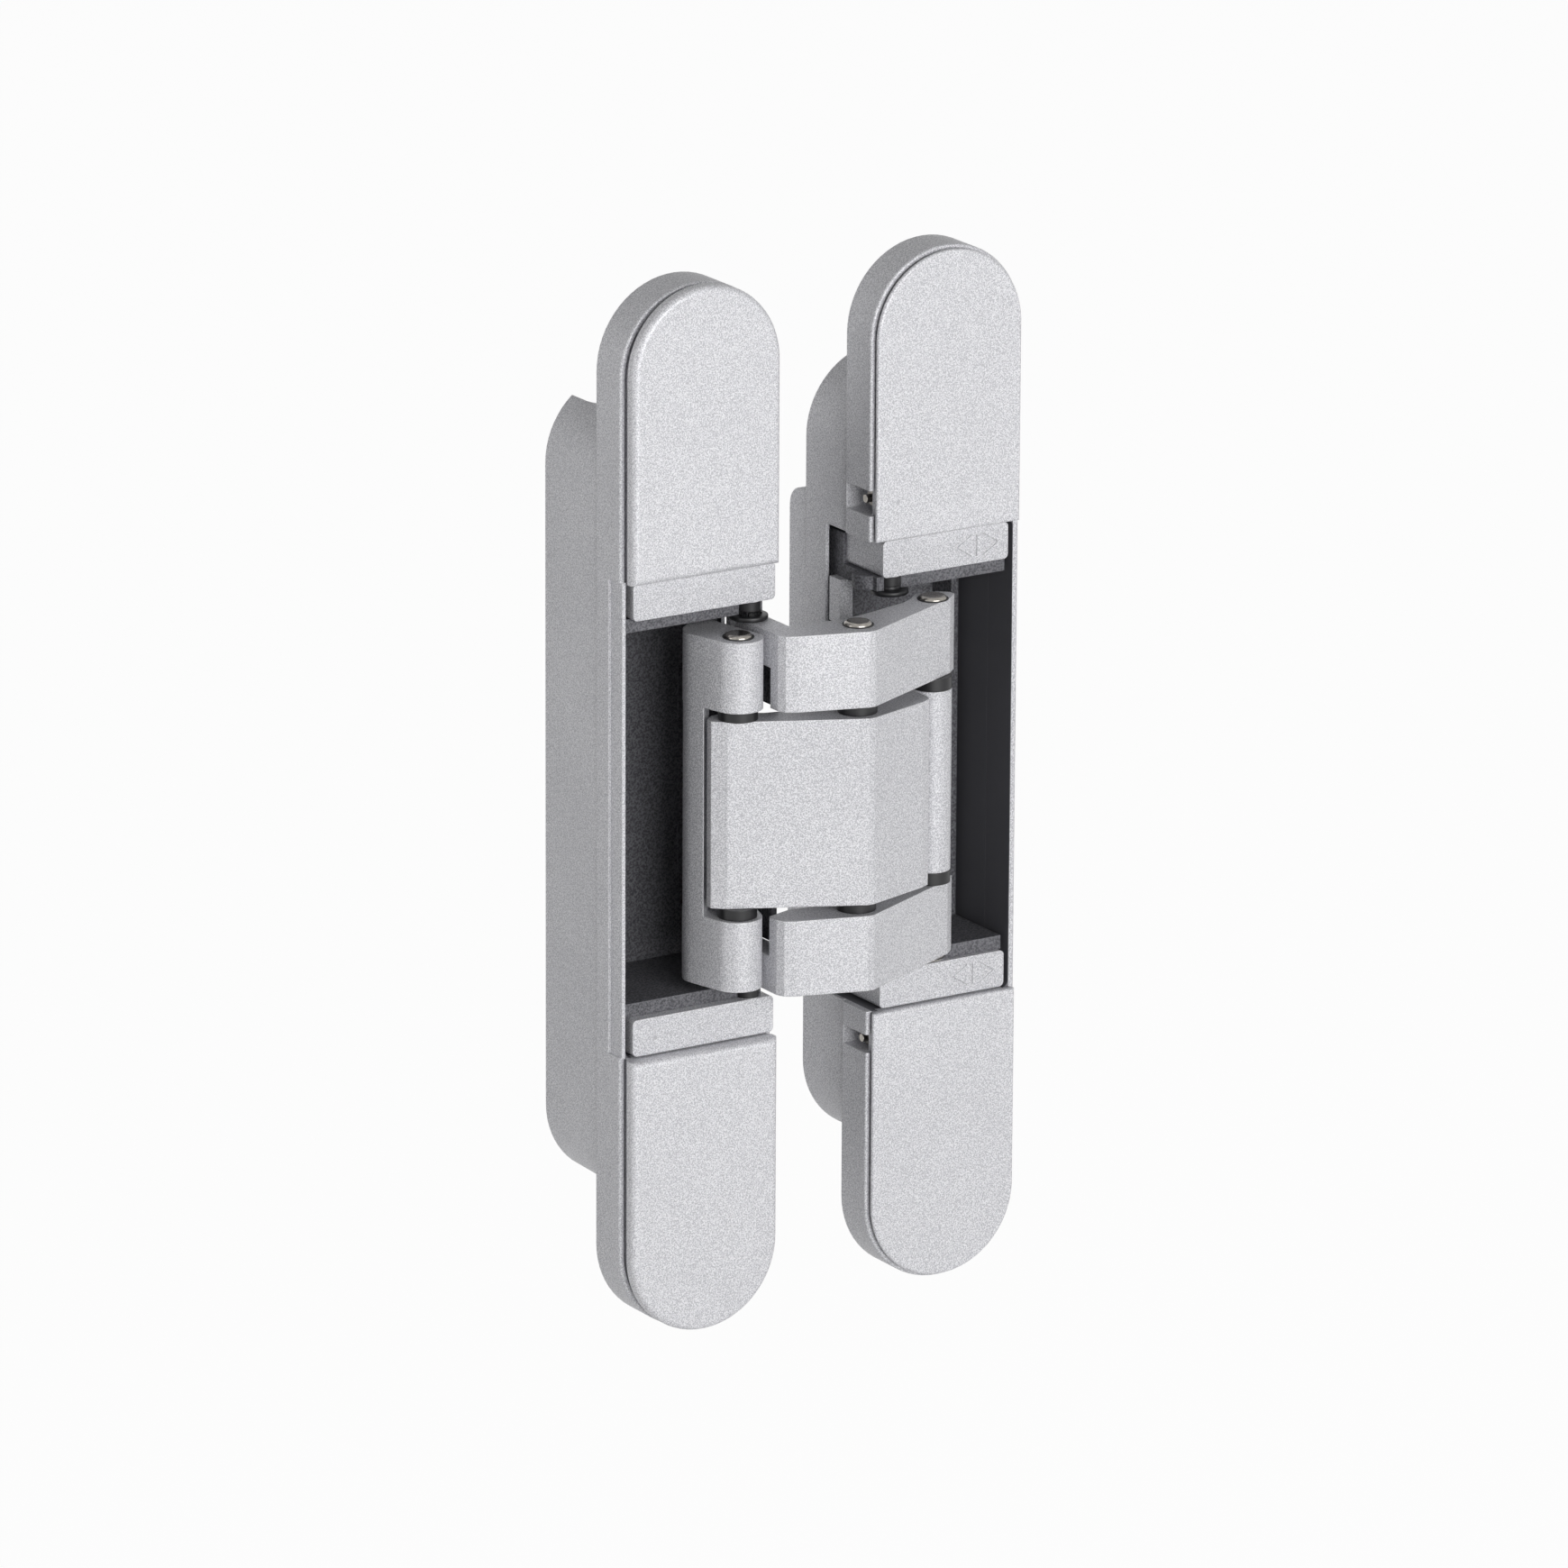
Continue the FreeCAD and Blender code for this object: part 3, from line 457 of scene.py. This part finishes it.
@dataclass
class Paintshop:
    """Builds each finish once and puts it on the CAD nodes.

    Attributes:
        built: The materials built so far.
    """

    built: dict[Finish, bpy.types.Material] = field(default_factory=dict)

    def material(self, finish: Finish) -> bpy.types.Material:
        """The material of a finish, built on its first use.

        Args:
            finish: The finish.

        Returns:
            Its material.
        """
        if finish not in self.built:
            self.built[finish] = finish.build()
        return self.built[finish]

    def dress(self, nodes: Nodes, names: Iterable[str], finish: Finish) -> None:
        """Gives CAD nodes a finish.

        Args:
            nodes: The CAD nodes by name.
            names: The nodes to dress.
            finish: Their finish.
        """
        for name in names:
            for slot in nodes[name].material_slots:
                slot.material = self.material(finish)
            log.info("%s dressed in %s", name, finish.name)


def clear_selection() -> None:
    """Deselects everything, because an operator acts on all that is selected."""
    bpy.ops.object.select_all(action="DESELECT")


def round_edges(piece: bpy.types.Object, width: float) -> None:
    """Rounds the edges of the active piece and shades it smooth between its sharp ones.

    Args:
        piece: The piece.
        width: Width of the rounding.
    """
    rounding = piece.modifiers.new("rounding", "BEVEL")
    rounding.width = width * MM
    rounding.segments = ROUNDING_SEGMENTS
    bpy.ops.object.modifier_apply(modifier=rounding.name)
    bpy.ops.object.shade_smooth_by_angle(angle=SMOOTH_ANGLE)


@dataclass(frozen=True)
class Washer:
    """A flat moulded ring with rounded rims.

    Attributes:
        bore: Radius of its hole.
        radius: Outer radius.
        height: Thickness.
        lip: Width of the rounding on its rims.
        sides: Number of flat stretches round it.
    """

    bore: float
    radius: float
    height: float
    lip: float
    sides: int = 56

    def build(self, name: str, foot: Vector, end: End, body: str, shop: Paintshop) -> None:
        """Models the ring, lays it on its seat and lets it ride on a body.

        Args:
            name: Name of the piece.
            foot: Centre of the seat, in metres.
            end: Which way it stands off its seat.
            body: The body that carries it.
            shop: The paint shop that has its material.
        """
        clear_selection()
        height = self.height * MM
        bpy.ops.mesh.primitive_cylinder_add(
            vertices=self.sides, radius=self.radius * MM, depth=height,
            location=foot + Vector((0.0, 0.0, end.value * height / 2.0)))
        ring = bpy.context.active_object
        ring.name = name
        bpy.ops.object.transform_apply(location=True, rotation=True, scale=True)
        self._pierce(ring)
        round_edges(ring, self.lip)
        ring.data.materials.append(shop.material(BLACK_WASHER))
        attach(ring, body)
        log.info("%s built", name)

    def _pierce(self, ring: bpy.types.Object) -> None:
        """Insets both flat faces and bridges them to open the bore.

        Args:
            ring: The disc to pierce.
        """
        bpy.ops.object.mode_set(mode="EDIT")
        bpy.ops.mesh.select_all(action="DESELECT")
        bpy.ops.object.mode_set(mode="OBJECT")
        for face in ring.data.polygons:
            face.select = abs(face.normal.z) > FACING
        bpy.ops.object.mode_set(mode="EDIT")
        bpy.ops.mesh.select_mode(type="FACE")
        bpy.ops.mesh.inset(thickness=(self.radius - self.bore) * MM, use_individual=True)
        bpy.ops.mesh.bridge_edge_loops()
        bpy.ops.mesh.select_all(action="SELECT")
        bpy.ops.mesh.normals_make_consistent(inside=False)
        bpy.ops.object.mode_set(mode="OBJECT")


@dataclass(frozen=True)
class SlitShadeTab:
    """A tab of the left casting that closes the slit between knuckle and arm, dark as painted shade.

    Attributes:
        across: From its inner to its outer face along X.
        depths: From its root on the low wall to its tip along Y.
        levels: Its lower and upper edge above the middle.
        rounding: Inset and height of its narrower tip.
        lip: Width of the rounding on its edges.
    """

    across: tuple[float, float] = (11.55, 12.4)
    depths: tuple[float, float] = (5.8, -7.9)
    levels: tuple[float, float] = (13.75, 20.8)
    rounding: float = 0.25
    lip: float = 0.25 / 3.0

    def build(self, end: End, shop: Paintshop) -> None:
        """Models one tab, with a narrower tip, and lets it ride on the left half.

        Args:
            end: The end of the opening that it belongs to.
            shop: The paint shop that has its material.
        """
        clear_selection()
        corners = [Vector((x, y, end.value * z)) * MM
                   for x, y, z in zip(self.across, self.depths, self.levels)]
        bpy.ops.mesh.primitive_cube_add(size=1.0, location=(corners[0] + corners[1]) / 2.0)
        tab = bpy.context.active_object
        tab.name = f"left_guard_tab_{end.word}"
        tab.scale = [abs(value) for value in corners[1] - corners[0]]
        bpy.ops.object.transform_apply(location=True, rotation=True, scale=True)
        for face in tab.data.polygons:
            face.select = face.normal.y < -FACING
        bpy.ops.object.mode_set(mode="EDIT")
        bpy.ops.mesh.select_mode(type="FACE")
        bpy.ops.mesh.inset(thickness=self.rounding * MM)
        bpy.ops.mesh.extrude_region_move(
            TRANSFORM_OT_translate={"value": (0.0, -self.rounding * MM, 0.0)})
        bpy.ops.object.mode_set(mode="OBJECT")
        round_edges(tab, self.lip)
        # The charcoal finish paints the tab dark, as the shade in the slit behind it.
        tab.data.materials.append(shop.material(CHARCOAL_CASTING))
        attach(tab, "left_half")
        log.info("%s built", tab.name)


@dataclass
class Half:
    """One half of the hinge: its castings, covers, end blocks and carriage.

    Attributes:
        side: The half's name in the CAD nodes.
        castings: Its plated castings.
        casting_finish: Their finish.
        pins: Its bright pins, screws and key.
        block_body: The body that carries its end blocks.
        boss: X and Y of the round boss under each end block.
        boss_bush: The black bush on the end of each boss.
        boss_washer: The wide black washer on the end of each bush.
    """

    side: str
    castings: tuple[str, ...]
    casting_finish: Finish
    pins: tuple[str, ...]
    block_body: str
    boss: tuple[float, float]
    boss_bush: Washer = Washer(bore=0.9, radius=1.55, height=0.56, lip=0.05)
    boss_washer: Washer = Washer(bore=0.9, radius=2.7, height=0.64, lip=0.12)

    def dress(self, nodes: Nodes, shop: Paintshop) -> None:
        """Gives the half's CAD nodes their finishes.

        Args:
            nodes: The CAD nodes by name.
            shop: The paint shop.
        """
        shop.dress(nodes, self.castings, self.casting_finish)
        for end in End:
            shop.dress(nodes, [f"{self.side}_cover_{end.word}"], SATIN_NICKEL_COVER)
            shop.dress(nodes, [f"{self.side}_block_{end.word}"], BLOCK_CASTING)
        shop.dress(nodes, [f"{self.side}_carriage"], CHARCOAL_CASTING)
        shop.dress(nodes, self.pins, BRIGHT_NICKEL_PIN)

    def build_boss_washers(self, shop: Paintshop) -> None:
        """Puts a bush and a washer under the boss of each end block.

        Args:
            shop: The paint shop.
        """
        for end in End:
            low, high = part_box(f"{self.side}_block_{end.word}")
            boss_end = low[2] if end is End.TOP else high[2]
            foot = Vector((self.boss[0] * MM, self.boss[1] * MM, boss_end))
            self.boss_bush.build(
                f"{self.side}_boss_bush_{end.word}", foot, end.opposite, self.block_body, shop)
            foot.z += end.opposite.value * self.boss_bush.height * MM
            self.boss_washer.build(
                f"{self.side}_boss_washer_{end.word}", foot, end.opposite, self.block_body, shop)


@dataclass
class Linkage:
    """The crossed arms, their links, pins and washers.

    Attributes:
        members: The plated arms and links.
        pins: Each headed pin, with its body and the height of the face under its heads.
        washers: The CAD washers between the members.
        collar: The thin black ring round the foot of each head, painted shade for the shadow under it.
    """

    members: tuple[str, ...] = (
        "outer_arm_top", "outer_arm_bottom", "inner_arm", "left_link", "right_link")
    pins: dict[str, tuple[str, float]] = field(default_factory=lambda: {
        "centre_pin": ("outer_arms", 26.2),
        "left_knuckle_pin": ("inner_arm", 25.4),
        "right_knuckle_pin": ("outer_arms", 26.2),
    })
    washers: tuple[str, ...] = ("centre_washers", "left_knuckle_washers", "right_knuckle_washers")
    collar: Washer = Washer(bore=2.02, radius=2.24, height=0.14, lip=0.04)

    def dress(self, nodes: Nodes, shop: Paintshop) -> None:
        """Gives the linkage's CAD nodes their finishes.

        Args:
            nodes: The CAD nodes by name.
            shop: The paint shop.
        """
        shop.dress(nodes, self.members, SATIN_NICKEL_CASTING)
        shop.dress(nodes, self.pins, BRIGHT_NICKEL_PIN)
        shop.dress(nodes, self.washers, BLACK_WASHER)

    def build_shade_rings(self, shop: Paintshop) -> None:
        """Puts a black ring round the foot of each pin's head as painted shade.

        Args:
            shop: The paint shop.
        """
        for pin, (body, level) in self.pins.items():
            low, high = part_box(pin)
            for end in End:
                foot = Vector((
                    (low[0] + high[0]) / 2.0, (low[1] + high[1]) / 2.0, end.value * level * MM))
                # Each ring is painted shade: black for the shadow under the head.
                self.collar.build(f"{pin}_{end.word}_collar", foot, end, body, shop)


@dataclass
class PhotographCamera:
    """The camera that the photograph was taken with, fitted to its edges.

    Attributes:
        azimuth_deg: Turn of the view to the right of straight ahead.
        elevation_deg: How far the view looks down.
        roll_deg: Turn about the line of sight.
        distance: From the camera to the target plane.
        focal_px: Focal length in pixels of the whole photograph.
        photo_px: Width of the photograph.
        offset_px: Where the middle of the hinge sits from the photograph's centre.
        middle: Middle of the hinge between the halves, on the flanges' faces.
        sensor_width: Width of the camera's sensor.
        clip: Nearest and farthest distance that it sees, in metres.
    """

    azimuth_deg: float = 32.33
    elevation_deg: float = 16.66
    roll_deg: float = 0.29
    distance: float = 1657.0
    focal_px: float = 13083.0
    photo_px: float = 1740.0
    offset_px: tuple[float, float] = (39.8, -4.2)
    middle: tuple[float, float, float] = (RIGHT_HALF_X / 2.0, -6.2, 0.0)
    sensor_width: float = 36.0
    clip: tuple[float, float] = (0.05, 50.0)

    def build(self) -> None:
        """Adds the camera to the scene and makes it the active one."""
        azimuth, elevation, roll = (
            math.radians(angle) for angle in (self.azimuth_deg, self.elevation_deg, self.roll_deg))
        ahead = Vector((math.sin(azimuth) * math.cos(elevation),
                        math.cos(azimuth) * math.cos(elevation), -math.sin(elevation)))
        level = Vector((math.cos(azimuth), -math.sin(azimuth), 0.0))
        above = level.cross(ahead)
        right = level * math.cos(roll) + above * math.sin(roll)
        up = above * math.cos(roll) - level * math.sin(roll)
        scale = self.distance / self.focal_px
        place = Vector(self.middle) - (
            ahead * self.distance + right * (self.offset_px[0] * scale) + up * (self.offset_px[1] * scale))
        data = bpy.data.cameras.new("photograph_camera")
        data.sensor_fit = "HORIZONTAL"
        data.sensor_width = self.sensor_width
        data.lens = self.focal_px * self.sensor_width / self.photo_px
        data.clip_start, data.clip_end = self.clip
        camera = bpy.data.objects.new("photograph_camera", data)
        rows = Matrix((right, up, -ahead)).transposed().to_4x4()
        camera.matrix_world = Matrix.Translation(place * MM) @ rows
        bpy.context.scene.collection.objects.link(camera)
        bpy.context.scene.camera = camera
        log.info("camera placed")


@dataclass(frozen=True)
class Softbox:
    """One soft studio lamp.

    Attributes:
        name: Name of the lamp.
        place: Where it stands, in metres.
        size: Side of its square face, in metres.
        power: Power in watts.
    """

    name: str
    place: tuple[float, float, float]
    size: float
    power: float

    def build(self, target: Vector) -> None:
        """Adds the lamp, turned to the target.

        Args:
            target: The point that the lamp faces.
        """
        data = bpy.data.lights.new(self.name, "AREA")
        data.shape = "SQUARE"
        data.size = self.size
        data.energy = self.power
        lamp = bpy.data.objects.new(self.name, data)
        lamp.location = self.place
        lamp.rotation_euler = (target - Vector(self.place)).to_track_quat("-Z", "Y").to_euler()
        bpy.context.scene.collection.objects.link(lamp)


@dataclass
class Studio:
    """Floor, background and soft light.

    Attributes:
        floor_drop: Height of the hinge's lowest point over the floor.
        floor_size: Side of the floor in metres.
        floor_colour: Colour of the floor's paint.
        floor_white: Share of plain white in the floor where it is seen. The rest takes the shadow.
        wall_light: Strength of the light that the studio's walls send from the level.
        ceiling_light: Strength of the light from its dark ceiling.
        ceiling_start: Upward share of a direction from which on the ceiling lies.
        lamps: The soft lamps.
    """

    floor_drop: float = 60.0
    floor_size: float = 8.0
    floor_colour: str = "#F2F2F2"
    floor_white: float = 0.97
    wall_light: float = 0.2
    ceiling_light: float = 0.0
    ceiling_start: float = 0.8
    lamps: tuple[Softbox, ...] = (
        Softbox("front_softbox", (-0.05, -1.25, 0.14), 1.0, 16.3),
        Softbox("left_softbox", (-1.5, 0.5, 0.15), 1.2, 6.5),
    )

    def build(self) -> None:
        """Builds the floor, the world and the lamps."""
        low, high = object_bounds()
        middle = Vector([(a + b) / 2.0 for a, b in zip(low, high)])
        self._floor(low[2] - self.floor_drop * MM)
        self._world()
        for lamp in self.lamps:
            lamp.build(middle)
        log.info("studio built with %d lamps", len(self.lamps))

    def _seen(self, tree: bpy.types.NodeTree) -> bpy.types.NodeSocket:
        """One for rays that show the background, whether direct, mirrored or through glass.

        Args:
            tree: The node tree that asks.

        Returns:
            One for such rays and zero for the rest.
        """
        path = add_node(tree, "ShaderNodeLightPath")
        direct = add_node(tree, "ShaderNodeMath", {"operation": "MAXIMUM"}, {
            "0": path.outputs["Is Camera Ray"], "1": path.outputs["Is Transmission Ray"]})
        mirrored = add_node(tree, "ShaderNodeMath", {"operation": "MAXIMUM"}, {
            "0": direct.outputs["Value"], "1": path.outputs["Is Glossy Ray"]})
        return mirrored.outputs["Value"]

    def _floor(self, height: float) -> None:
        """Builds the pale floor, which keeps a share of its own light and so the hinge's shadow.

        Args:
            height: Height of the floor in metres.
        """
        clear_selection()
        bpy.ops.mesh.primitive_plane_add(size=self.floor_size, location=(0.0, 0.0, height))
        floor = bpy.context.active_object
        floor.name = "pale_floor"
        bpy.ops.object.transform_apply(location=True, rotation=True, scale=True)
        material = bpy.data.materials.new("pale_floor_paint")
        material.use_nodes = True
        tree = material.node_tree
        tree.nodes.clear()
        matt = add_node(tree, "ShaderNodeBsdfDiffuse", {}, {"Color": hex_to_linear(self.floor_colour)})
        white = add_node(tree, "ShaderNodeEmission", {}, {"Color": WHITE, "Strength": 1.0})
        share = add_node(tree, "ShaderNodeMath", {"operation": "MULTIPLY"}, {
            "0": self._seen(tree), "1": self.floor_white})
        mixed = add_node(tree, "ShaderNodeMixShader", {}, {
            "0": share.outputs["Value"], "1": matt.outputs["BSDF"], "2": white.outputs["Emission"]})
        add_node(tree, "ShaderNodeOutputMaterial", {}, {"Surface": mixed.outputs["Shader"]})
        floor.data.materials.append(material)
        floor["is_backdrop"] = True

    def _world(self) -> None:
        """Builds a world that shows white and lights the hinge softly, less from above."""
        world = bpy.data.worlds.new("studio_white")
        world.use_nodes = True
        tree = world.node_tree
        tree.nodes.clear()
        towards = add_node(tree, "ShaderNodeTexCoord").outputs["Generated"]
        split = add_node(tree, "ShaderNodeSeparateXYZ", {}, {"Vector": towards})
        light = add_node(tree, "ShaderNodeMapRange", {}, {
            "Value": split.outputs["Z"], "From Min": 0.0, "From Max": self.ceiling_start,
            "To Min": self.wall_light, "To Max": self.ceiling_light})
        soft = add_node(tree, "ShaderNodeBackground", {}, {
            "Color": WHITE, "Strength": light.outputs["Result"]})
        white = add_node(tree, "ShaderNodeBackground", {}, {"Color": WHITE, "Strength": 1.0})
        mixed = add_node(tree, "ShaderNodeMixShader", {}, {
            "0": self._seen(tree), "1": soft.outputs["Background"], "2": white.outputs["Background"]})
        add_node(tree, "ShaderNodeOutputWorld", {}, {"Surface": mixed.outputs["Shader"]})
        bpy.context.scene.world = world


def main() -> None:
    """Builds the scene in order: frame, camera, both halves, linkage, studio."""
    logging.basicConfig(level=logging.INFO, format="%(name)s: %(message)s")
    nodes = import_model()["nodes"]
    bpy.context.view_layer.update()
    PhotographCamera().build()
    shop = Paintshop()
    halves = (
        Half(side="left", castings=("left_housing",), casting_finish=LEFT_CASTING,
             pins=("left_arm_pins", "left_link_pins"), block_body="left_half", boss=(9.1, -5.4)),
        Half(side="right", castings=("right_flange", "right_casting"), casting_finish=RIGHT_CASTING,
             pins=("right_arm_pins", "right_link_pin", "right_side_screws"),
             block_body="right_carriage", boss=(32.9, -4.6)),
    )
    shop.dress(nodes, ["right_side_key"], SATIN_NICKEL_COVER)
    for half in halves:
        half.dress(nodes, shop)
        half.build_boss_washers(shop)
    for end in End:
        SlitShadeTab().build(end, shop)
    linkage = Linkage()
    linkage.dress(nodes, shop)
    linkage.build_shade_rings(shop)
    Studio().build()
    bpy.context.scene.view_settings.view_transform = "Standard"


if __name__ == "__main__":
    main()
